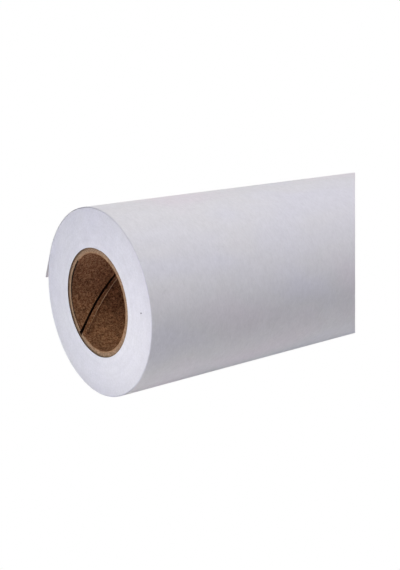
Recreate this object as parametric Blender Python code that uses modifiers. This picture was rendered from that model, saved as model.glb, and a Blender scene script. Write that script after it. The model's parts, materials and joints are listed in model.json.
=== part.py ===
"""Backdrop paper roll: white seamless paper wound on a spiral-wound cardboard core.

The roll lies along X with +Z up, and the origin is on the core's axis at mid-length. Its near end is
at -X. Clock angles start at the top and grow towards +Y, the way the outermost turn of paper runs to
its free end. The last stretch of that turn is a chain of strips, each hinged on the one before, so
that the free end can be peeled off the roll.
"""

import math

import bpy

# Driving dimensions, in metres and degrees.
ROLL_LENGTH = 1.35
ROLL_RADIUS = 0.052
SHEET_THICKNESS = 0.0002
GAP = 0.0003  # between touching pieces, and for the glue between plies

CORE_BORE_RADIUS = 0.027
CORE_SET_BACK = 0.0007  # how far the core's ends are inside the paper's
LINER_THICKNESS = 0.0005
BODY_PLY_THICKNESS = 0.00055
OUTER_PLY_THICKNESS = 0.0005
PLY_LEAD = 0.165  # length of core covered by one turn of a ply
LINER_SEAM_AT_TOP = 0.0665  # from the near end to the middle of the liner's seam, along the top
LINER_SEAM_WIDTH = 0.005  # along the core
OUTER_SEAM_WIDTH = 0.0012
FACETS = 41  # sides of every round piece; an odd number leaves a flat side at the bottom

LEAVES_ROLL_AT = 67.1  # where the free end stops following the roll and runs on straight
STRIP_COUNT = 5
STRIP_FACETS = 2
FLAP_LENGTH = 0.0185

TAPE_COUNT = 5
TAPE_WIDTH = 0.024
TAPE_THICKNESS = 0.00015
TAPE_SPACING = 0.3
TAPE_MIDDLE_ANGLE = 180.0
TAPE_ANGLE = 72.0
TAPE_FACETS = 8

# Worked out from the driving dimensions.
CORE_LENGTH = ROLL_LENGTH - 2 * CORE_SET_BACK
INNER_BODY_RADIUS = CORE_BORE_RADIUS + LINER_THICKNESS + GAP
OUTER_BODY_RADIUS = INNER_BODY_RADIUS + BODY_PLY_THICKNESS + GAP
OUTER_PLY_RADIUS = OUTER_BODY_RADIUS + BODY_PLY_THICKNESS + GAP
CORE_RADIUS = OUTER_PLY_RADIUS + OUTER_PLY_THICKNESS
PAPER_INNER_RADIUS = CORE_RADIUS + GAP
TAPE_RECESS_RADIUS = CORE_RADIUS + GAP + TAPE_THICKNESS + GAP
TURN_STEP = SHEET_THICKNESS + GAP  # what the outer surface rises by in one turn
STRIP_ANGLE = LEAVES_ROLL_AT / STRIP_COUNT
STRIP_GAP_ANGLE = math.degrees(GAP / ROLL_RADIUS)


def start_afresh():
    for obj in list(bpy.data.objects):
        bpy.data.objects.remove(obj, do_unlink=True)


def new_collection(name):
    collection = bpy.data.collections.new(name)
    bpy.context.scene.collection.children.link(collection)
    return collection


def new_material(name, colour, roughness):
    material = bpy.data.materials.new(name)
    material.use_nodes = True
    shader = material.node_tree.nodes["Principled BSDF"]
    shader.inputs["Base Color"].default_value = (*colour, 1.0)
    shader.inputs["Roughness"].default_value = roughness
    shader.inputs["Metallic"].default_value = 0.0
    return material


def at_clock(radius, angle):
    """The (Y, Z) point at a clock angle in degrees."""
    turn = math.radians(angle)
    return radius * math.sin(turn), radius * math.cos(turn)


def arc(radius_at, start, end, steps):
    """Points from one clock angle to another, at the radius that radius_at gives for each angle."""
    angles = [start + (end - start) * i / steps for i in range(steps + 1)]
    return [at_clock(radius_at(angle), angle) for angle in angles]


def curved_plate(inner_radius_at, thickness, start, end, steps):
    """The outline of a sheet that follows the roll between two clock angles."""
    inner = arc(inner_radius_at, start, end, steps)
    outer = arc(lambda angle: inner_radius_at(angle) + thickness, end, start, steps)
    return inner + outer


def prism(name, outlines, length, material, collection, hinge=(0.0, 0.0), middle=0.0):
    """An outline in (Y, Z), with its holes, extruded along the roll. Its origin is on hinge."""
    curve = bpy.data.curves.new(name, "CURVE")
    curve.dimensions = "2D"
    curve.fill_mode = "BOTH"
    curve.extrude = length / 2
    for outline in outlines:
        spline = curve.splines.new("POLY")
        spline.points.add(len(outline) - 1)
        for point, (y, z) in zip(spline.points, outline):
            point.co = (y - hinge[0], z - hinge[1], 0.0, 1.0)
        spline.use_cyclic_u = True
        spline.use_smooth = False
    curve.materials.append(material)
    obj = bpy.data.objects.new(name, curve)
    obj.location = (middle, *hinge)
    obj.rotation_euler = (math.pi / 2, 0.0, math.pi / 2)  # the curve's XY plane becomes the roll's YZ
    collection.objects.link(obj)
    return obj


def circle(radius):
    return arc(lambda angle: radius, 0.0, 360.0 - 360.0 / FACETS, FACETS - 1)


def butted_ply(name, inner_radius, thickness, material, collection):
    """A ply whose edges meet tightly all the way along, so that it is a plain tube."""
    outlines = [circle(inner_radius + thickness), circle(inner_radius)]
    return prism(name, outlines, CORE_LENGTH, material, collection)


def open_seam_ply(name, inner_radius, thickness, seam_at_top, seam_width, material, collection, trim):
    """A strip of board wound as a right-handed helix with a gap at its seam, cut square at both ends."""
    strip_width = PLY_LEAD - seam_width
    spare_turns = 1
    start = -ROLL_LENGTH / 2 + seam_at_top + seam_width / 2 - PLY_LEAD * (1 + spare_turns)
    turns = math.ceil(ROLL_LENGTH / PLY_LEAD) + 2 * spare_turns + 1
    mesh = bpy.data.meshes.new(name)
    edge = [(start + strip_width, 0.0, inner_radius), (start, 0.0, inner_radius)]
    mesh.from_pydata(edge, [(0, 1)], [])
    mesh.materials.append(material)
    obj = bpy.data.objects.new(name, mesh)
    collection.objects.link(obj)

    wind = obj.modifiers.new("wind", "SCREW")
    wind.axis = "X"
    wind.angle = 2 * math.pi
    wind.screw_offset = PLY_LEAD
    wind.iterations = turns
    wind.steps = wind.render_steps = FACETS
    wind.use_smooth_shade = False
    thicken = obj.modifiers.new("thicken", "SOLIDIFY")
    thicken.thickness = thickness
    thicken.offset = 1.0
    thicken.use_even_offset = True
    cut = obj.modifiers.new("cut_ends", "BOOLEAN")
    cut.operation = "INTERSECT"
    cut.object = trim
    return obj


def trim_block(collection):
    """What is inside this block stays: it is as long as the core, and wider."""
    bpy.ops.mesh.primitive_cube_add(size=1.0)
    block = bpy.context.object
    block.name = "trim_block"
    side = 2 * ROLL_RADIUS
    block.data.transform(((CORE_LENGTH, 0, 0, 0), (0, side, 0, 0), (0, 0, side, 0), (0, 0, 0, 1)))
    for owner in list(block.users_collection):
        owner.objects.unlink(block)
    collection.objects.link(block)
    block.hide_render = True
    block.display_type = "WIRE"
    return block


def make_core(collection, cutters):
    liner_board = new_material("liner_kraft", (0.17, 0.085, 0.045), 0.85)
    body_board = new_material("core_board", (0.36, 0.22, 0.13), 0.9)
    trim = trim_block(cutters)
    open_seam_ply(
        "core_liner_ply", CORE_BORE_RADIUS, LINER_THICKNESS, LINER_SEAM_AT_TOP, LINER_SEAM_WIDTH,
        liner_board, collection, trim,
    )
    butted_ply("core_body_ply_inner", INNER_BODY_RADIUS, BODY_PLY_THICKNESS, body_board, collection)
    butted_ply("core_body_ply_outer", OUTER_BODY_RADIUS, BODY_PLY_THICKNESS, body_board, collection)
    opposite_seam = LINER_SEAM_AT_TOP + PLY_LEAD / 2
    open_seam_ply(
        "core_outer_ply", OUTER_PLY_RADIUS, OUTER_PLY_THICKNESS, opposite_seam, OUTER_SEAM_WIDTH,
        body_board, collection, trim,
    )


def make_start_tapes(collection):
    """Short tapes that hold the first edge of the paper on the core, evenly spaced along it."""
    masking = new_material("masking_tape", (0.62, 0.5, 0.3), 0.7)
    outline = curved_plate(
        lambda angle: CORE_RADIUS + GAP, TAPE_THICKNESS,
        TAPE_MIDDLE_ANGLE - TAPE_ANGLE / 2, TAPE_MIDDLE_ANGLE + TAPE_ANGLE / 2, TAPE_FACETS,
    )
    for i in range(TAPE_COUNT):
        middle = (i - (TAPE_COUNT - 1) / 2) * TAPE_SPACING
        prism(f"start_tape_{i + 1}", [outline], TAPE_WIDTH, masking, collection, middle=middle)


def turn_radius(angle):
    """The wound paper's surface under the outermost turn, rising by one step from 0 to 360 degrees."""
    return ROLL_RADIUS - TURN_STEP * (1 - angle / 360.0)


def tape_side_radius(angle):
    """The paper's inner surface, which bulges over the start tapes."""
    over_tape = abs(angle - TAPE_MIDDLE_ANGLE) <= TAPE_ANGLE / 2 + 360.0 / FACETS + 1e-6
    return TAPE_RECESS_RADIUS if over_tape else PAPER_INNER_RADIUS


def make_paper(collection):
    white = new_material("seamless_paper", (0.85, 0.85, 0.88), 0.75)
    outside = arc(turn_radius, 0.0, 360.0, FACETS)
    inside = arc(tape_side_radius, 0.0, 360.0 - 360.0 / FACETS, FACETS - 1)
    prism("paper_wound_turns", [outside, inside], ROLL_LENGTH, white, collection)
    make_free_end(white, collection)


def sheet_inner_radius(angle):
    return turn_radius(angle) + GAP


def hinge_at(angle):
    """A hinge line of the free end, in the middle of the sheet's thickness."""
    return at_clock(sheet_inner_radius(angle) + SHEET_THICKNESS / 2, angle)


def make_free_end(material, collection):
    """The last stretch of the outermost turn in hinged strips, and the flap that stands off straight."""
    before = None
    for i in range(STRIP_COUNT):
        start = i * STRIP_ANGLE
        outline = curved_plate(
            sheet_inner_radius, SHEET_THICKNESS,
            start + STRIP_GAP_ANGLE, start + STRIP_ANGLE, STRIP_FACETS,
        )
        strip = prism(
            f"paper_end_strip_{i + 1}", [outline], ROLL_LENGTH, material, collection, hinge_at(start)
        )
        hang_on(strip, before)
        before = strip
    hinge = hinge_at(LEAVES_ROLL_AT)
    out = at_clock(1.0, LEAVES_ROLL_AT)
    away = out[1], -out[0]

    def flap_point(along, across):
        return hinge[0] + along * away[0] + across * out[0], hinge[1] + along * away[1] + across * out[1]

    half = SHEET_THICKNESS / 2
    corners = [(GAP, -half), (FLAP_LENGTH, -half), (FLAP_LENGTH, half), (GAP, half)]
    outline = [flap_point(along, across) for along, across in corners]
    flap = prism("paper_end_flap", [outline], ROLL_LENGTH, material, collection, hinge)
    hang_on(flap, before)


def hang_on(obj, parent):
    """Parents obj where it is, so that turning the parent carries it."""
    if parent is None:
        return
    bpy.context.view_layer.update()
    obj.parent = parent
    obj.matrix_parent_inverse = parent.matrix_world.inverted()


def main():
    start_afresh()
    roll = new_collection("backdrop_paper_roll")
    cutters = new_collection("cutters")
    make_core(roll, cutters)
    make_start_tapes(roll)
    make_paper(roll)


main()
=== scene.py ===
"""The looks of the backdrop paper roll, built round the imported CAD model.

Everything is in metres in the part's own frame: the roll lies along X with its near end at -X, +Y is
away from the camera and +Z is up. Clock angles are in degrees, start at the top and grow towards +Y,
which is the way the sheet runs towards its free end.
"""

import json
import math

import bpy
import numpy as np
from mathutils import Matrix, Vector


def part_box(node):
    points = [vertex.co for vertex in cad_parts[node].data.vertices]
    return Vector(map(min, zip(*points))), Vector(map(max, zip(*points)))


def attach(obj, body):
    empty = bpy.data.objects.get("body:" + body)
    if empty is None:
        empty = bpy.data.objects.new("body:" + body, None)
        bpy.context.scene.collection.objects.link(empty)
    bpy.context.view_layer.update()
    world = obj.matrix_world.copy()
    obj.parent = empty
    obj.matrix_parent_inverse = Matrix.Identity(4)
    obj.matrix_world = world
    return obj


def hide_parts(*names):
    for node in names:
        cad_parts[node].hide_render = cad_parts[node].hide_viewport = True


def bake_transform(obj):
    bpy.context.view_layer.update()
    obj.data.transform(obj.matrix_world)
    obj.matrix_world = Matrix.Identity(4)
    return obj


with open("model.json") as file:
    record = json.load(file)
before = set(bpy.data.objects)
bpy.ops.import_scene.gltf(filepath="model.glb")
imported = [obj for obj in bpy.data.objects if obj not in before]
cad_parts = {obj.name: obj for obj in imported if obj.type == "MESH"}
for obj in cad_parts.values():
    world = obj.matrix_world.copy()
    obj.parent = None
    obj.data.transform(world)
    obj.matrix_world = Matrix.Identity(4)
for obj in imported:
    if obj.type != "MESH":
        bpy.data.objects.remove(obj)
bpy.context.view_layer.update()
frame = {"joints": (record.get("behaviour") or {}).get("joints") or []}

# ---------------------------------------------------------------- driving dimensions

MM = 0.001
ROLL_RADIUS = 52.0 * MM
CORE_RADIUS = 30.0 * MM
SHEET_THICKNESS = 0.2 * MM
NEAR_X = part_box("paper_wound_turns")[0].x
FAR_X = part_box("paper_wound_turns")[1].x
HINGES = [Vector(joint["pos_m"]) for joint in frame["joints"]]
HINGE_CLOCKS = [math.degrees(math.atan2(h.y, h.z)) for h in HINGES]
FLAP_LENGTH = 18.5 * MM

TURNS = 97
COLUMNS = 180  # per turn of the wound sheet
PAPER_START_RADIUS = CORE_RADIUS + 0.05 * MM
TAPE_ROOM = 0.2 * MM  # how far the first turn stands off the core where it goes over the tapes
TAPE_ROOM_STARTS = (4.0 * MM, 12.0 * MM)  # distances from an end: where the step starts and is complete
OUTER_TURN_SLACK = 0.2 * MM  # how much looser the last turn is than the others
TURN_GROOVE = 0.03 * MM  # depth of the grooves between the turns' edges
LAST_TURN_GROOVE = 0.9 * MM  # how much deeper the groove is under the loose last turn
LAST_TURN_IS_LOOSE_FOR = 0.85  # of a turn
SHEET_STARTS_AT = -10.0  # clock angle where the last turn goes over into the free end's own pieces
SKIN_STEPS = 90  # along the roll

PLY_RADII = [radius * MM for radius in (27.0, 27.72, 28.48, 29.24, 30.0)]
GLUE_LINE = 0.02 * MM  # between plies
CORE_NEAR_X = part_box("core_body_ply_outer")[0].x
CORE_FAR_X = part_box("core_body_ply_outer")[1].x
PLY_LEAD = 165.0 * MM
PLY_COLUMNS = 216  # per turn of a ply
LINER_SEAM_AT_TOP = 66.5 * MM  # from the near end to the middle of the open seam
LINER_SEAM_WIDTH = 5.0 * MM
SLOT_WIDTH = 2.0 * MM  # the open stretch of the plies under the seam, at its nearer edge
SLOT_WIDENS_BY = 2.3 * MM
SLOT_WIDENS_OVER = 60.0 * MM  # from the near end
LINER_LIFTS = (0.75 * MM, 0.12 * MM)  # how far the edges along the seam stand up, the nearer one first
LINER_STANDS_OFF = 0.6 * MM  # where it has come unstuck at the near end
LINER_STANDS_OFF_FOR = 6.0 * MM  # into the core
WRAP_SEAM_WIDTH = 1.2 * MM
PLY_END_STRETCH = 1.0 * MM  # rim faces nearer to an end than this belong to the cut end, not the seam
# clock angle where the painted shadow behind the liner's loose end stops
PAINTED_SHADOW_ENDS_AT = 118.0  # clock angle
TAPE_CLOCKS = (144.0, 216.0)
CRUMB_RADIUS = 42.6 * MM  # where it is on the near end
CRUMB_CLOCK = -84.7


# ---------------------------------------------------------------- small tools

def clock_points(radius, clock, x):
    """Points at a radius and clock angle, with the three inputs spread against each other."""
    turn = np.radians(clock)
    radius, turn, x = np.broadcast_arrays(radius, turn, x)
    return np.stack([x, radius * np.sin(turn), radius * np.cos(turn)], axis=-1)


def ripple(first, second, seed, terms, first_range, second_range):
    """Smooth uneven values between about -1 and 1: a sum of slow waves in two variables.

    second_range holds whole numbers, so that the second variable, a clock angle, can go right round.
    """
    random = np.random.default_rng(seed)
    total = 0.0
    for _ in range(terms):
        along = random.uniform(*first_range) * 2 * np.pi
        around = random.integers(second_range[0], second_range[1] + 1)
        phases = random.uniform(0, 2 * np.pi, 2)
        wave = np.cos(first * along + phases[0]) * np.cos(np.radians(second) * around + phases[1])
        total = total + wave
    return total / math.sqrt(terms)


def smoothstep(value):
    value = np.clip(value, 0.0, 1.0)
    return value * value * (3 - 2 * value)


def new_piece(name, points, parts, materials, part_materials=None):
    """A smooth-shaded mesh object from an array of points and a list of arrays of faces."""
    mesh = bpy.data.meshes.new(name)
    faces = [face for part in parts for face in part.tolist()]
    mesh.from_pydata(points.reshape(-1, 3).tolist(), [], faces)
    for material in materials:
        mesh.materials.append(material)
    if part_materials is not None:
        numbers = np.repeat(part_materials, [len(part) for part in parts])
        mesh.polygons.foreach_set("material_index", numbers.astype(np.int32))
    mesh.shade_smooth()
    mesh.validate()
    piece = bpy.data.objects.new(name, mesh)
    bpy.context.scene.collection.objects.link(piece)
    return piece


def sharpen(piece, degrees=35):
    piece.data.set_sharp_from_angle(angle=math.radians(degrees))


def quads(a, b, c, d):
    """Faces from four arrays of point numbers, which run clockwise as seen from outside."""
    return np.stack([np.ravel(a), np.ravel(d), np.ravel(c), np.ravel(b)], axis=-1)


def grid_quads(numbers):
    """Faces over a grid of points. They face out if its rows go round with the clock and its columns
    along X."""
    return quads(numbers[:-1, :-1], numbers[1:, :-1], numbers[1:, 1:], numbers[:-1, 1:])


def closed_plate(name, inner, outer, materials):
    """A closed plate between two grids of points of the same shape. Its rim has the second material."""
    rows, columns = inner.shape[:2]
    low = np.arange(rows * columns).reshape(rows, columns)
    high = low + rows * columns
    parts = [
        grid_quads(low)[:, ::-1],
        grid_quads(high),
        quads(low[1:, 0], high[1:, 0], high[:-1, 0], low[:-1, 0]),
        quads(low[:-1, -1], high[:-1, -1], high[1:, -1], low[1:, -1]),
        quads(low[0, :-1], high[0, :-1], high[0, 1:], low[0, 1:]),
        quads(low[-1, 1:], high[-1, 1:], high[-1, :-1], low[-1, :-1]),
    ]
    points = np.concatenate([inner.reshape(-1, 3), outer.reshape(-1, 3)])
    return new_piece(name, points, parts, materials, [0, 0, 1, 1, 1, 1])


# ---------------------------------------------------------------- materials

class Look:
    """One material and the nodes that make it."""

    def __init__(self, name, roughness, specular):
        self.material = bpy.data.materials.new(name)
        self.material.use_nodes = True
        self.tree = self.material.node_tree
        self.shader = self.tree.nodes["Principled BSDF"]
        self.shader.inputs["Roughness"].default_value = roughness
        self.shader.inputs["Specular IOR Level"].default_value = specular
        self.place = self.tree.nodes.new("ShaderNodeTexCoord").outputs["Object"]

    def add(self, kind, **settings):
        node = self.tree.nodes.new(kind)
        for key, value in settings.items():
            setattr(node, key, value)
        return node

    def join(self, source, target):
        self.tree.links.new(source, target)

    def scaled(self, stretch):
        mapping = self.add("ShaderNodeMapping")
        mapping.inputs["Scale"].default_value = stretch
        self.join(self.place, mapping.inputs["Vector"])
        return mapping.outputs["Vector"]

    def noise(self, scale, detail=2.0, rough=0.5, stretch=None, warp=0.0):
        node = self.add("ShaderNodeTexNoise")
        node.inputs["Scale"].default_value = scale
        node.inputs["Detail"].default_value = detail
        node.inputs["Roughness"].default_value = rough
        node.inputs["Distortion"].default_value = warp
        self.join(self.scaled(stretch) if stretch else self.place, node.inputs["Vector"])
        return node.outputs["Fac"]

    def from_axis(self):
        """Distance from the roll's axis, in metres."""
        radius = self.add("ShaderNodeVectorMath", operation="LENGTH")
        self.join(self.scaled((0.0, 1.0, 1.0)), radius.inputs[0])
        return radius.outputs["Value"]

    def rings(self, scale, detail=3.0):
        """Noise that depends on the distance from the roll's axis alone."""
        node = self.add("ShaderNodeTexNoise", noise_dimensions="1D")
        node.inputs["Scale"].default_value = scale
        node.inputs["Detail"].default_value = detail
        self.join(self.from_axis(), node.inputs["W"])
        return node.outputs["Fac"]

    def from_middle(self):
        """Distance along the roll from its middle, in metres."""
        parts = self.add("ShaderNodeSeparateXYZ")
        self.join(self.place, parts.inputs[0])
        node = self.add("ShaderNodeMath", operation="ABSOLUTE")
        self.join(parts.outputs["X"], node.inputs[0])
        return node.outputs["Value"]

    def ramp(self, value, *stops):
        node = self.add("ShaderNodeValToRGB")
        while len(node.color_ramp.elements) < len(stops):
            node.color_ramp.elements.new(0.5)
        for element, (position, colour) in zip(node.color_ramp.elements, stops):
            element.position = position
            element.color = (*colour, 1.0)
        self.join(value, node.inputs["Fac"])
        return node.outputs["Color"]

    def spread(self, value, low, high, from_low=0.3, from_high=0.7):
        node = self.add("ShaderNodeMapRange")
        node.inputs["From Min"].default_value = from_low
        node.inputs["From Max"].default_value = from_high
        node.inputs["To Min"].default_value = low
        node.inputs["To Max"].default_value = high
        self.join(value, node.inputs["Value"])
        return node.outputs["Result"]

    def times(self, colour, value):
        """A colour made darker where value is under 1."""
        node = self.add("ShaderNodeVectorMath", operation="SCALE")
        self.join(colour, node.inputs[0])
        self.join(value, node.inputs["Scale"])
        return node.outputs["Vector"]

    def colour(self, colour):
        self.join(colour, self.shader.inputs["Base Color"])

    def roughness(self, value, low, high):
        self.join(self.spread(value, low, high), self.shader.inputs["Roughness"])

    def bump(self, *layers):
        """Relief from (height, depth in metres) layers, the first one undermost."""
        normal = None
        for height, depth in layers:
            node = self.add("ShaderNodeBump")
            node.inputs["Strength"].default_value = 1.0
            node.inputs["Distance"].default_value = depth
            self.join(height, node.inputs["Height"])
            if normal is not None:
                self.join(normal, node.inputs["Normal"])
            normal = node.outputs["Normal"]
        self.join(normal, self.shader.inputs["Normal"])


def sheet_look():
    """The sheet's face: cool white, uncoated, with a slow pink and violet drift, fibres and dents."""
    look = Look("white_sheet", roughness=0.85, specular=0.15)
    drift = look.noise(17.0, detail=2.0, stretch=(0.6, 1.0, 1.0), warp=0.4)
    tint = look.ramp(
        drift, (0.28, (0.82, 0.775, 0.82)), (0.5, (0.79, 0.79, 0.81)), (0.72, (0.77, 0.775, 0.845))
    )
    fibres = look.noise(1000.0, detail=3.0, rough=0.7, stretch=(1.2, 0.5, 0.5))
    mottle = look.noise(330.0, detail=2.0, rough=0.6, stretch=(1.1, 0.7, 0.7))
    clouds = look.noise(110.0, detail=3.0, rough=0.6)
    dents = look.spread(look.noise(150.0, detail=3.0, rough=0.7, warp=1.2), 1.0, 0.94, 0.66, 0.74)
    for value, low in ((fibres, 0.94), (mottle, 0.96), (clouds, 0.985)):
        tint = look.times(tint, look.spread(value, low, 1.01))
    look.colour(look.times(tint, dents))
    look.roughness(clouds, 0.8, 0.9)
    look.bump((look.noise(45.0, detail=1.0), 0.12 * MM), (dents, 0.06 * MM), (fibres, 0.02 * MM))
    return look.material


def sheet_edges_look():
    """The roll's ends: bluish cut edges of the turns in faint rings, with painted shade making them
    darker towards the rim.
    """
    look = Look("white_sheet_edges", roughness=0.85, specular=0.1)
    drift = look.noise(26.0, detail=2.0)
    tint = look.ramp(drift, (0.3, (0.775, 0.775, 0.865)), (0.7, (0.785, 0.79, 0.85)))
    bands = look.rings(420.0, detail=4.0)
    mottle = look.noise(160.0, detail=3.0, rough=0.65)
    grain = look.noise(800.0, detail=4.0, rough=0.75)
    # painted shade: the ends get up to 4% darker from 44 mm out to the rim
    rim_painted_shade = look.spread(look.from_axis(), 1.0, 0.96, 44 * MM, ROLL_RADIUS)
    for value, low, high in ((bands, 0.97, 1.0), (mottle, 0.94, 1.01), (grain, 0.90, 1.01)):
        tint = look.times(tint, look.spread(value, low, high))
    look.colour(look.times(tint, rim_painted_shade))
    look.bump((bands, 0.03 * MM), (grain, 0.03 * MM))
    return look.material


def liner_look():
    """The liner's face: dark kraft with coarse pale and dark fibres, and painted shade making it darker
    close to both ends.
    """
    look = Look("dark_kraft", roughness=0.88, specular=0.12)
    flecks = look.noise(950.0, detail=4.0, rough=0.8)
    patches = look.noise(330.0, detail=3.0, rough=0.7)
    clouds = look.noise(75.0, detail=3.0, rough=0.6)
    tint = look.ramp(
        flecks, (0.38, (0.14, 0.054, 0.024)), (0.5, (0.36, 0.168, 0.088)), (0.62, (0.66, 0.365, 0.21))
    )
    # painted shade: the liner gets darker within 30 mm of either end, where the bore opens
    end_painted_shade = look.spread(look.from_middle(), 1.0, 0.72, FAR_X - 30 * MM, FAR_X)
    for value in (look.spread(patches, 0.74, 1.14), look.spread(clouds, 0.94, 1.05), end_painted_shade):
        tint = look.times(tint, value)
    look.colour(tint)
    look.bump((clouds, 0.08 * MM), (flecks, 0.1 * MM))
    return look.material


def board_look(name, dark, light):
    """Raw board: a cut edge, or a ply's face, with fine fibres."""
    look = Look(name, roughness=0.93, specular=0.08)
    fibres = look.noise(1300.0, detail=3.0, rough=0.7)
    patches = look.noise(300.0, detail=3.0, rough=0.6)
    tint = look.ramp(fibres, (0.34, dark), (0.66, light))
    look.colour(look.times(tint, look.spread(patches, 0.8, 1.1)))
    look.bump((patches, 0.08 * MM), (fibres, 0.06 * MM))
    return look.material


def tape_look():
    """Masking tape: tan crepe paper with fine ridges across it."""
    look = Look("masking_tape_crepe", roughness=0.7, specular=0.2)
    ridges = look.noise(700.0, detail=2.0, stretch=(0.2, 1.0, 1.0), warp=0.5)
    look.colour(look.ramp(ridges, (0.3, (0.52, 0.40, 0.22)), (0.7, (0.66, 0.54, 0.33))))
    look.bump((ridges, 0.03 * MM))
    return look.material


SHEET = sheet_look()
SHEET_EDGES = sheet_edges_look()
LINER = liner_look()
LINER_EDGE = board_look("kraft_torn_edge", (0.26, 0.14, 0.075), (0.46, 0.28, 0.17))
# the seam's edges: pale cut kraft, made lighter still as a painted highlight
PALE_LIP_AND_HIGHLIGHT = board_look("kraft_lip_pale_and_painted_highlight", (0.60, 0.37, 0.22), (0.90, 0.62, 0.42))
# near black: painted shadow on the walls of the slot under the liner's seam, on the liner's loose end
# and behind it; dried glue on the hidden wrap ply
GLUE_AND_PAINTED_SHADOW = board_look("dried_glue_and_painted_shadow", (0.012, 0.006, 0.004), (0.04, 0.021, 0.013))
BOARD = board_look("core_board", (0.22, 0.138, 0.085), (0.47, 0.32, 0.21))
OUTER_BOARD = board_look("core_wrap_edge", (0.15, 0.095, 0.06), (0.32, 0.215, 0.14))
# dark brown painted shade on the inside of the first turn, so the strip of it seen beside the core
# reads as a shadowed gap
FIRST_TURN_PAINTED_SHADE = board_look("first_turn_painted_shade", (0.07, 0.043, 0.027), (0.17, 0.106, 0.068))
TAPE = tape_look()


# ---------------------------------------------------------------- the wound turns

def skin_swell(x, clock):
    """How far the wound paper's surface stands in or out: it isn't wound perfectly evenly."""
    return 0.05 * MM * ripple(x, clock, 11, 10, (1.5, 9.0), (0, 5))


def turn_boundary(position):
    """Radius of the spiral between turns. position counts columns along it, from the core outwards."""
    last = TURNS * COLUMNS
    pitch = (ROLL_RADIUS - OUTER_TURN_SLACK - PAPER_START_RADIUS) / (TURNS + 1)
    slack = OUTER_TURN_SLACK * smoothstep((position - last) / COLUMNS)
    return PAPER_START_RADIUS + pitch * position / COLUMNS + slack


def spiral_clock(position):
    """Clock angle, not wrapped, at a position along the spiral."""
    return SHEET_STARTS_AT + 360.0 * position / COLUMNS


def edge_relief(position, seed):
    """How far the sheet's cut edge stands back from the roll's end, turn by turn.

    The numbers are millimetres until the last line.
    """
    random = np.random.default_rng(seed)
    turns = position / COLUMNS
    knots = np.arange(0, TURNS + 4, 0.6)
    wander = np.interp(turns, knots, random.normal(0.0, 0.008, len(knots)))
    bands = 0.012 * ripple(turns, spiral_clock(position), seed + 1, 9, (0.01, 0.09), (0, 2))
    return MM * (0.05 + wander + bands)


def end_rings(x, inward, seed):
    """Points of one end: a groove between turns at each boundary, and a crest on each sheet's edge."""
    last = TURNS * COLUMNS
    at_groove = np.arange(last + COLUMNS + 1)
    at_crest = np.arange(last + 1)
    groove_radius = turn_boundary(at_groove)
    crest_radius = (groove_radius[: last + 1] + groove_radius[COLUMNS:]) / 2
    relief = edge_relief(at_groove, seed)
    behind_end = (last - at_groove) / COLUMNS  # in turns
    loose = smoothstep(1 - behind_end / LAST_TURN_IS_LOOSE_FOR) * (behind_end > 0) * (behind_end < 1)
    groove_x = x + inward * (relief + TURN_GROOVE + LAST_TURN_GROOVE * loose)
    crest_x = x + inward * relief[: last + 1]
    outside = at_groove >= last
    groove_x[outside] = x + inward * (edge_relief(at_groove[outside] - COLUMNS, seed) + 0.01 * MM)
    swell = np.where(outside, skin_swell(x, spiral_clock(at_groove)), 0.0)
    return np.concatenate([
        clock_points(groove_radius + swell, spiral_clock(at_groove), groove_x),
        clock_points(crest_radius, spiral_clock(at_crest), crest_x),
    ])


def end_faces(first):
    """(faces towards -X, groove's point numbers, crest's) of one end whose points start at first."""
    last = TURNS * COLUMNS
    groove = first + np.arange(last + COLUMNS + 1)
    crest = first + len(groove) + np.arange(last + 1)
    inner_half = quads(groove[:last], groove[1 : last + 1], crest[1:], crest[:-1])
    outer_half = quads(crest[:-1], crest[1:], groove[COLUMNS + 1 :], groove[COLUMNS:-1])
    return np.concatenate([inner_half, outer_half]), groove, crest


def wound_skin(near_groove, far_groove, first_number):
    """(points, grid of point numbers) of the outside, over the last turn between its two edges."""
    stations = np.linspace(NEAR_X, FAR_X, SKIN_STEPS + 1)[1:-1]
    around = TURNS * COLUMNS + np.arange(COLUMNS + 1)
    clock = spiral_clock(around)[:, None]
    radius = turn_boundary(around)[:, None] + skin_swell(stations[None, :], clock)
    points = clock_points(radius, clock, stations[None, :])
    numbers = first_number + np.arange(points[..., 0].size).reshape(points.shape[:2])
    edges = near_groove[around][:, None], far_groove[around][:, None]
    return points, np.concatenate([edges[0], numbers, edges[1]], axis=1)


def wound_bore(near_groove, far_groove, first_number):
    """The same for the inside of the first turn, which makes room for the tapes between its ends."""
    first = np.arange(COLUMNS + 1)
    starts, complete = TAPE_ROOM_STARTS
    x = np.array([NEAR_X + starts, NEAR_X + complete, FAR_X - complete, FAR_X - starts])
    lift = np.array([0.0, TAPE_ROOM, TAPE_ROOM, 0.0])
    radius = turn_boundary(first)[:, None] + lift[None, :]
    points = clock_points(radius, spiral_clock(first)[:, None], x[None, :])
    numbers = first_number + np.arange(points[..., 0].size).reshape(points.shape[:2])
    edges = near_groove[first][:, None], far_groove[first][:, None]
    return points, np.concatenate([edges[0], numbers, edges[1]], axis=1)


def step_faces(low, high, crest_at_near, crest_at_far):
    """The sheet's cut edge between two lines of points, with a triangle at either end of the roll."""
    strip = quads(low[:-1], low[1:], high[1:], high[:-1])
    ends = [[crest_at_near, high[0], low[0]], [crest_at_far, low[-1], high[-1]]]
    return [strip, np.array(ends)]


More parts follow.
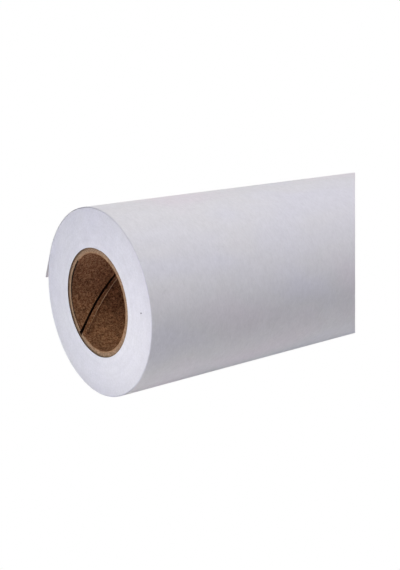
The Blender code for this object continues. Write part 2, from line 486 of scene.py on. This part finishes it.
def make_wound_paper():
    """All the turns as one closed body, with the sheet's real spiral of edges at both ends."""
    near_points = end_rings(NEAR_X, 1.0, 21)
    far_points = end_rings(FAR_X, -1.0, 31)
    near_faces, near_groove, near_crest = end_faces(0)
    far_faces, far_groove, far_crest = end_faces(len(near_points))
    count = len(near_points) + len(far_points)
    skin_points, skin = wound_skin(near_groove, far_groove, count)
    bore_points, bore = wound_bore(near_groove, far_groove, count + skin_points[..., 0].size)

    last = TURNS * COLUMNS
    parts = [
        near_faces, far_faces[:, ::-1], grid_quads(skin), grid_quads(bore)[:, ::-1],
        *step_faces(skin[0], skin[-1], near_crest[last], far_crest[last]),
        *step_faces(bore[-1], bore[0], near_crest[0], far_crest[0]),
    ]
    grids = [skin_points.reshape(-1, 3), bore_points.reshape(-1, 3)]
    points = np.concatenate([near_points, far_points, *grids])
    # the inside of the first turn has painted shade
    looks = [SHEET, SHEET_EDGES, FIRST_TURN_PAINTED_SHADE]
    piece = new_piece("wound_paper", points, parts, looks, [1, 1, 0, 2, 1, 1, 1, 1])
    sharpen(piece, 60)
    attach(piece, "roll")
    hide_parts("paper_wound_turns")


make_wound_paper()


# ---------------------------------------------------------------- the sheet's free end

def sheet_middle_radius(clock):
    """Radius of the sheet's middle surface, from the first hinge's to the last one's."""
    ends = [HINGE_CLOCKS[0], HINGE_CLOCKS[-1]]
    return np.interp(clock, ends, [HINGES[0].z, HINGES[-1].length])


def flap_wave(straight, x):
    """How far the straight flap waves in and out, more towards its edge and hardly at the near end."""
    share = straight / FLAP_LENGTH
    waves = ripple(x - NEAR_X, 0.0 * x, 5, 7, (1.0, 5.5), (0, 0))
    return 0.35 * MM * share**1.5 * waves * smoothstep((x - NEAR_X) / 0.2)


def sheet_points(along, x, offset):
    """Points of the sheet at distances along it from the first hinge, in metres of sheet."""
    leaves = math.radians(HINGE_CLOCKS[-1])
    on_roll = np.minimum(along, ROLL_RADIUS * leaves)
    straight = np.maximum(along - ROLL_RADIUS * leaves, 0.0)
    clock = np.degrees(on_roll / ROLL_RADIUS)
    radius = sheet_middle_radius(clock) + skin_swell(x, clock) * (straight == 0) + offset
    points = clock_points(radius, clock, x)
    away = np.array([0.0, math.cos(leaves), -math.sin(leaves)])
    out = np.array([0.0, math.sin(leaves), math.cos(leaves)])
    return points + straight[..., None] * away + flap_wave(straight, x)[..., None] * out


def make_free_end():
    """The free end in stretches that each span one hinge, from mid-strip to mid-strip."""
    nodes = [f"paper_end_strip_{i}" for i in range(1, 6)] + ["paper_end_flap"]
    hinges = np.radians(HINGE_CLOCKS) * ROLL_RADIUS
    middles = (hinges[:-1] + hinges[1:]) / 2
    half = middles[0]
    cuts = [math.radians(SHEET_STARTS_AT) * ROLL_RADIUS, *middles, hinges[-1] + FLAP_LENGTH]
    x = np.linspace(NEAR_X, FAR_X, SKIN_STEPS + 1)
    for i, (start, end) in enumerate(zip(cuts[:-1], cuts[1:])):
        steps = max(8, round((end - start) / (1.2 * MM)))
        along = np.linspace(start, end, steps + 1)[:, None] + 0.0 * x[None, :]
        across = x[None, :] + 0.0 * along
        inner = sheet_points(along, across, -SHEET_THICKNESS / 2)
        outer = sheet_points(along, across, SHEET_THICKNESS / 2)
        piece = closed_plate(f"free_end_{i + 1}", inner, outer, [SHEET, SHEET_EDGES])
        sharpen(piece)
        bend = sheet_points(np.array([hinges[i] - half, hinges[i] + half]), np.zeros(2), 0.0)
        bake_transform(piece)
        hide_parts(nodes[i])


make_free_end()


# ---------------------------------------------------------------- the core

def ply_rows():
    """Places across a ply, from 0 to 1, close together at its two edges."""
    even = np.linspace(-1.0, 1.0, 16)
    return (np.sign(even) * (1 - (1 - np.abs(even)) ** 2.6) + 1) / 2


def close_to(distance, reach):
    """1 at an edge, and smoothly down to 0 where reach ends."""
    return np.clip(1 - distance / reach, 0.0, 1.0) ** 2


def liner_stands_off(clock, from_end):
    """The liner has come unstuck at the near end, along the side towards +Y."""
    clock = clock % 360.0
    around = smoothstep((clock - 40.0) / 12.0) * smoothstep((150.0 - clock) / 25.0)
    notch = 1 - 0.5 * smoothstep((clock - 91.0) / 3.0)
    fading = np.clip(1 - from_end / LINER_STANDS_OFF_FOR, 0.0, 1.0) ** 1.5
    return LINER_STANDS_OFF * around * notch * fading


def ply_outline(seam_at_top, seam_width, widens_by):
    """(clock, low edge, high edge, start, end) of the rows of a ply, a right-handed helix.

    The edges are those along the seam. Start and end are the same, cut off by the core's ends.
    """
    turns_back = math.ceil((CORE_FAR_X - CORE_NEAR_X) / PLY_LEAD) + 2
    clock = 360.0 * np.arange(-turns_back * PLY_COLUMNS, 2 * PLY_COLUMNS + 1) / PLY_COLUMNS
    low_edge = NEAR_X + seam_at_top + seam_width / 2 - PLY_LEAD * clock / 360.0
    high_edge = low_edge + PLY_LEAD - seam_width
    low_edge = low_edge + widens_by * smoothstep((low_edge - CORE_NEAR_X) / SLOT_WIDENS_OVER)
    start = np.clip(low_edge, CORE_NEAR_X, CORE_FAR_X)
    end = np.clip(high_edge, CORE_NEAR_X, CORE_FAR_X)
    keep = end - start > 1e-6
    return [row[keep][:, None] for row in (clock, low_edge, high_edge, start, end)]


def paint_ply(piece, loose_end, shaded_behind_liner):
    """The rim gets the third material along the seam, and the fourth where the end is loose. On a ply
    shaded behind the liner, the third one is also on its inner face behind the liner's loose end, as
    painted shadow."""
    polygons = piece.data.polygons
    numbers, middles = np.zeros(len(polygons), np.int32), np.zeros(3 * len(polygons))
    polygons.foreach_get("material_index", numbers)
    polygons.foreach_get("center", middles)
    x, y, z = middles.reshape(-1, 3).T
    numbers[(x > CORE_NEAR_X + PLY_END_STRETCH) & (x < CORE_FAR_X - PLY_END_STRETCH)] *= 2
    clock = np.degrees(np.arctan2(y, z))
    came_unstuck = liner_stands_off(clock, 0.0) > 0.1 * MM
    if loose_end:
        numbers[came_unstuck & (numbers == 1) & (x - CORE_NEAR_X < PLY_END_STRETCH)] = 3
    if shaded_behind_liner:
        # painted shadow on the inner ply's face where the liner's loose end stands off it
        behind = came_unstuck & (clock < PAINTED_SHADOW_ENDS_AT) & (x - CORE_NEAR_X < LINER_STANDS_OFF_FOR)
        numbers[behind & (numbers == 0)] = 2
    polygons.foreach_set("material_index", numbers)


def make_ply(name, node, radii, seam, materials, seed, lifts=(0.0, 0.0), widens_by=0.0,
             loose_end=False, shaded_behind_liner=False):
    """One ply: a strip wound as a helix, cut off square and a little rough at both ends.

    seam is (where its middle is along the top, from the near end; its width along the core), and lifts
    says how far the ply's nearer and further edges along it stand up from the core. The materials are
    those of the faces, the cut ends, the edges along the seam and the loose end's edge.
    """
    clock, low_edge, high_edge, start, end = ply_outline(*seam, widens_by)
    x = start + (end - start) * ply_rows()[None, :]
    at_near, at_far = close_to(x - CORE_NEAR_X, 1.5 * MM), close_to(CORE_FAR_X - x, 1.5 * MM)
    at_low, at_high = close_to(x - low_edge, 1.6 * MM), close_to(high_edge - x, 2.4 * MM)
    off_ends = (1 - at_near) * (1 - at_far)
    rough = 0.11 * MM * ripple(clock / 360.0, 0.0 * clock, seed, 24, (8.0, 60.0), (0, 0))
    torn = 0.10 * MM * ripple(clock / 360.0, 0.0 * clock, seed + 100, 24, (8.0, 60.0), (0, 0))
    fuzz = rough * 1.4 * (at_near + at_far)
    lift = (lifts[0] * at_low + lifts[1] * at_high) * off_ends
    x = x + (np.abs(rough) + 0.03 * MM) * (at_near - at_far)
    x = np.clip(x + torn * (at_low - at_high) * off_ends, CORE_NEAR_X, CORE_FAR_X)
    if loose_end:
        lift = lift + liner_stands_off(clock, x - CORE_NEAR_X)
    inner = clock_points(radii[0] - lift + fuzz, clock, x)
    outer = clock_points(radii[1] - GLUE_LINE - lift, clock, x)
    piece = closed_plate(name, inner, outer, materials)
    paint_ply(piece, loose_end, shaded_behind_liner)
    sharpen(piece, 40)
    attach(piece, "roll")
    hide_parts(node)


def make_core():
    """The four plies, from the inside out. The body plies have a slot under the liner's seam."""
    liner, body_inner, body_outer, wrap, outside = PLY_RADII
    liner_seam = (LINER_SEAM_AT_TOP, LINER_SEAM_WIDTH)
    slot = (LINER_SEAM_AT_TOP - (LINER_SEAM_WIDTH - SLOT_WIDTH) / 2, SLOT_WIDTH)
    wrap_seam = (LINER_SEAM_AT_TOP + PLY_LEAD / 2, WRAP_SEAM_WIDTH)
    # Painted shadow: the near-black material goes on the liner's loose end's edge, along the body
    # plies' slot under the seam, and on the inner body ply's face behind the loose end; on the wrap ply
    # it is dried glue.
    make_ply(
        "core_liner", "core_liner_ply", (liner, body_inner), liner_seam,
        [LINER, LINER_EDGE, PALE_LIP_AND_HIGHLIGHT, GLUE_AND_PAINTED_SHADOW], 41, lifts=LINER_LIFTS, loose_end=True,
    )
    make_ply(
        "core_body_inner", "core_body_ply_inner", (body_inner, body_outer), slot,
        [LINER, BOARD, GLUE_AND_PAINTED_SHADOW], 42, widens_by=SLOT_WIDENS_BY, shaded_behind_liner=True,
    )
    make_ply(
        "core_body_outer", "core_body_ply_outer", (body_outer, wrap), slot,
        [LINER, BOARD, GLUE_AND_PAINTED_SHADOW], 43, widens_by=SLOT_WIDENS_BY,
    )
    make_ply(
        "core_wrap", "core_outer_ply", (wrap, outside), wrap_seam,
        [GLUE_AND_PAINTED_SHADOW, OUTER_BOARD, GLUE_AND_PAINTED_SHADOW], 44,
    )


make_core()


# ---------------------------------------------------------------- hidden tapes, and a crumb

def make_tapes():
    """The tapes under the first turn, each a thin creped patch on the core."""
    for i in range(1, 6):
        node = f"start_tape_{i}"
        low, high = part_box(node)
        x = np.linspace(low.x, high.x, 13)[None, :]
        clock = np.linspace(*TAPE_CLOCKS, 61)[:, None]
        crepe = 0.02 * MM * ripple(x, clock, 50 + i, 8, (5.0, 20.0), (60, 160))
        inner = clock_points(CORE_RADIUS + 0.03 * MM, clock, x)
        outer = clock_points(CORE_RADIUS + 0.16 * MM + crepe, clock, x)
        piece = closed_plate(f"tape_under_paper_{i}", inner, outer, [TAPE, TAPE])
        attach(piece, "roll")
        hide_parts(node)


make_tapes()


def make_crumb():
    """A crumb of grey board stuck on the near end."""
    look = board_look("grey_crumb", (0.10, 0.10, 0.13), (0.22, 0.21, 0.25))
    bpy.ops.mesh.primitive_ico_sphere_add(subdivisions=3, radius=1.0)
    piece = bpy.context.object
    piece.name = "end_face_crumb"
    for vertex in piece.data.vertices:
        x, y, z = vertex.co
        swell = 1.0 + 0.25 * math.sin(3.1 * y + 1.7) * math.cos(4.3 * z)
        vertex.co = Vector((x * 0.15, y * 0.55 * swell, z * 0.42 * swell)) * MM
    piece.data.materials.append(look)
    piece.data.shade_smooth()
    piece.location = clock_points(CRUMB_RADIUS, CRUMB_CLOCK, NEAR_X + 0.02 * MM).tolist()
    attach(piece, "roll")


make_crumb()


# ---------------------------------------------------------------- stage, light and camera

NEAR_END = Vector((NEAR_X, 0.0, 0.0))
LENS = 60.93  # mm, on a 36 mm sensor
CAMERA_PLACE = Vector((-5.098, -8.242, 2.728)) * ROLL_RADIUS  # from the middle of the near end
CAMERA_LOOKS_ALONG = Vector((0.5969, 0.7609, -0.2547))
CARD_DISTANCE = 5.0 * MM  # off the lens
CARD_LEFT, CARD_RIGHT, CARD_HALF_HEIGHT = 0.1608, 0.24, 0.16  # for a card at a distance of 1
STAGE_WHITE = (0.79, 0.79, 0.79)
WORLD_FILL = 0.02  # strength of the surround as a light
TABLE_GLOW = 0.21  # the same of the strip under the roll
WORLD_COLOUR = (0.97, 0.97, 1.0)
# name, place and aim from the middle of the near end, size, watts, colour
SOFT_LIGHTS = [
    ("top_box", (0.4, -0.3, 1.6), (0.2, 0.0, 0.0), 0.8, 11.2, (1.0, 0.94, 0.98)),
    ("front_top_box", (0.2, -0.8, 1.4), (0.1, 0.0, 0.0), 0.8, 5.1, (0.71, 0.725, 1.0)),
    ("left_top_box", (-0.8, -0.3, 1.3), (0.0, 0.0, 0.0), 0.8, 9.8, (0.99, 1.0, 0.865)),
    ("end_box", (-0.2, 0.0, -0.02), (0.0, 0.0, -0.02), 0.06, 0.117, (0.70, 0.715, 1.0)),
    ("end_right_spot", (-0.1, -0.05, 0.0), (0.0, -0.05, 0.0), 0.03, 0.0193, (1.0, 0.90, 0.89)),
    ("end_low_spot", (-0.1, 0.0, -0.03), (0.0, 0.0, -0.03), 0.03, 0.0141, (0.99, 1.0, 0.61)),
    ("far_top_box", (1.15, -0.35, 0.8), (1.1, 0.0, 0.0), 0.6, 1.8, (0.97, 0.96, 1.0)),
    ("back_box", (0.7, 1.5, 0.15), (0.7, 0.0, 0.0), 0.5, 7.5, (1.0, 0.98, 0.95)),
    ("far_end_box", (2.1, 0.2, 0.1), (1.35, 0.0, 0.0), 0.2, 2.0, (0.98, 0.98, 1.0)),
]


def white_stage(name, glow=0.0):
    """Plain white for the camera from its front, and clear from behind. As a light it only glows by
    glow, and as a surface it is a matt STAGE_WHITE."""
    material = bpy.data.materials.new(name)
    material.use_nodes = True
    nodes, links = material.node_tree.nodes, material.node_tree.links
    shader = nodes["Principled BSDF"]
    shader.inputs["Base Color"].default_value = (*STAGE_WHITE, 1.0)
    shader.inputs["Roughness"].default_value = 1.0
    shader.inputs["Specular IOR Level"].default_value = 0.0
    shader.inputs["Emission Color"].default_value = (1.0, 1.0, 1.0, 1.0)
    shader.inputs["Emission Strength"].default_value = glow
    seen = nodes.new("ShaderNodeEmission")
    clear = nodes.new("ShaderNodeBsdfTransparent")
    ray = nodes.new("ShaderNodeLightPath")
    side = nodes.new("ShaderNodeNewGeometry")
    front = nodes.new("ShaderNodeMixShader")
    both = nodes.new("ShaderNodeMixShader")
    links.new(ray.outputs["Is Camera Ray"], front.inputs["Fac"])
    links.new(shader.outputs["BSDF"], front.inputs[1])
    links.new(seen.outputs["Emission"], front.inputs[2])
    links.new(side.outputs["Backfacing"], both.inputs["Fac"])
    links.new(front.outputs["Shader"], both.inputs[1])
    links.new(clear.outputs["BSDF"], both.inputs[2])
    links.new(both.outputs["Shader"], nodes["Material Output"].inputs["Surface"])
    return material


def make_floor():
    bpy.ops.mesh.primitive_plane_add(size=30.0, location=(0.0, 0.0, -ROLL_RADIUS))
    floor = bpy.context.object
    floor.name = "studio_floor"
    floor.data.materials.append(white_stage("white_floor"))


def make_light_table():
    """A glowing strip under the roll, as on a light table, so that its underside isn't in the dark."""
    half_width, half_length, middle_y = 0.026, 0.67, -0.02
    corners = [(-1, -1), (1, -1), (1, 1), (-1, 1)]
    height = -ROLL_RADIUS + 0.04 * MM  # just off the floor
    points = np.array([(x * half_length, y * half_width + middle_y, height) for x, y in corners])
    look = white_stage("table_glow", TABLE_GLOW)
    table = new_piece("light_table", points, [np.array([[0, 1, 2, 3]])], [look])
    table.visible_camera = False


def make_world():
    """A white surround for the camera, which lights the roll less than it looks."""
    world = bpy.data.worlds.new("studio")
    world.use_nodes = True
    bpy.context.scene.world = world
    nodes, links = world.node_tree.nodes, world.node_tree.links
    fill = nodes["Background"]
    fill.inputs["Color"].default_value = (*WORLD_COLOUR, 1.0)
    fill.inputs["Strength"].default_value = WORLD_FILL
    seen = nodes.new("ShaderNodeBackground")
    seen.inputs["Color"].default_value = (1.0, 1.0, 1.0, 1.0)
    ray = nodes.new("ShaderNodeLightPath")
    mix = nodes.new("ShaderNodeMixShader")
    links.new(ray.outputs["Is Camera Ray"], mix.inputs["Fac"])
    links.new(fill.outputs["Background"], mix.inputs[1])
    links.new(seen.outputs["Background"], mix.inputs[2])
    links.new(mix.outputs["Shader"], nodes["World Output"].inputs["Surface"])


def soft_light(name, place, aim, size, power, colour):
    """A square softbox that the camera doesn't see."""
    data = bpy.data.lights.new(name, "AREA")
    data.shape = "SQUARE"
    data.size = size
    data.energy = power
    data.color = colour
    light = bpy.data.objects.new(name, data)
    light.location = NEAR_END + Vector(place)
    light.rotation_euler = (Vector(aim) - Vector(place)).to_track_quat("-Z", "Y").to_euler()
    light.visible_camera = False
    bpy.context.scene.collection.objects.link(light)


def make_camera():
    """The camera looks at the near end from the front left, from a little above."""
    data = bpy.data.cameras.new("camera")
    data.sensor_width = 36.0
    data.lens = LENS
    data.clip_start = 0.001
    camera = bpy.data.objects.new("camera", data)
    camera.location = NEAR_END + CAMERA_PLACE
    camera.rotation_euler = CAMERA_LOOKS_ALONG.to_track_quat("-Z", "Y").to_euler()
    bpy.context.scene.collection.objects.link(camera)
    bpy.context.scene.camera = camera
    return camera


def make_crop_card(camera):
    """A white card just off the lens, which ends the view of the roll at its right as a mat would."""
    low, high = -CARD_HALF_HEIGHT, CARD_HALF_HEIGHT
    corners = [(CARD_LEFT, low), (CARD_RIGHT, low), (CARD_RIGHT, high), (CARD_LEFT, high)]
    turn = camera.rotation_euler.to_matrix()
    rays = [turn @ Vector((x, y, -1.0)) for x, y in corners]
    points = np.array([camera.location + ray * CARD_DISTANCE for ray in rays])
    card = new_piece("crop_card", points, [np.array([[0, 1, 2, 3]])], [white_stage("white_card")])
    for kind in ("visible_diffuse", "visible_glossy", "visible_transmission", "visible_shadow"):
        setattr(card, kind, False)


make_floor()
make_light_table()
make_world()
for row in SOFT_LIGHTS:
    soft_light(*row)
make_crop_card(make_camera())
bpy.context.scene.view_settings.view_transform = "Standard"
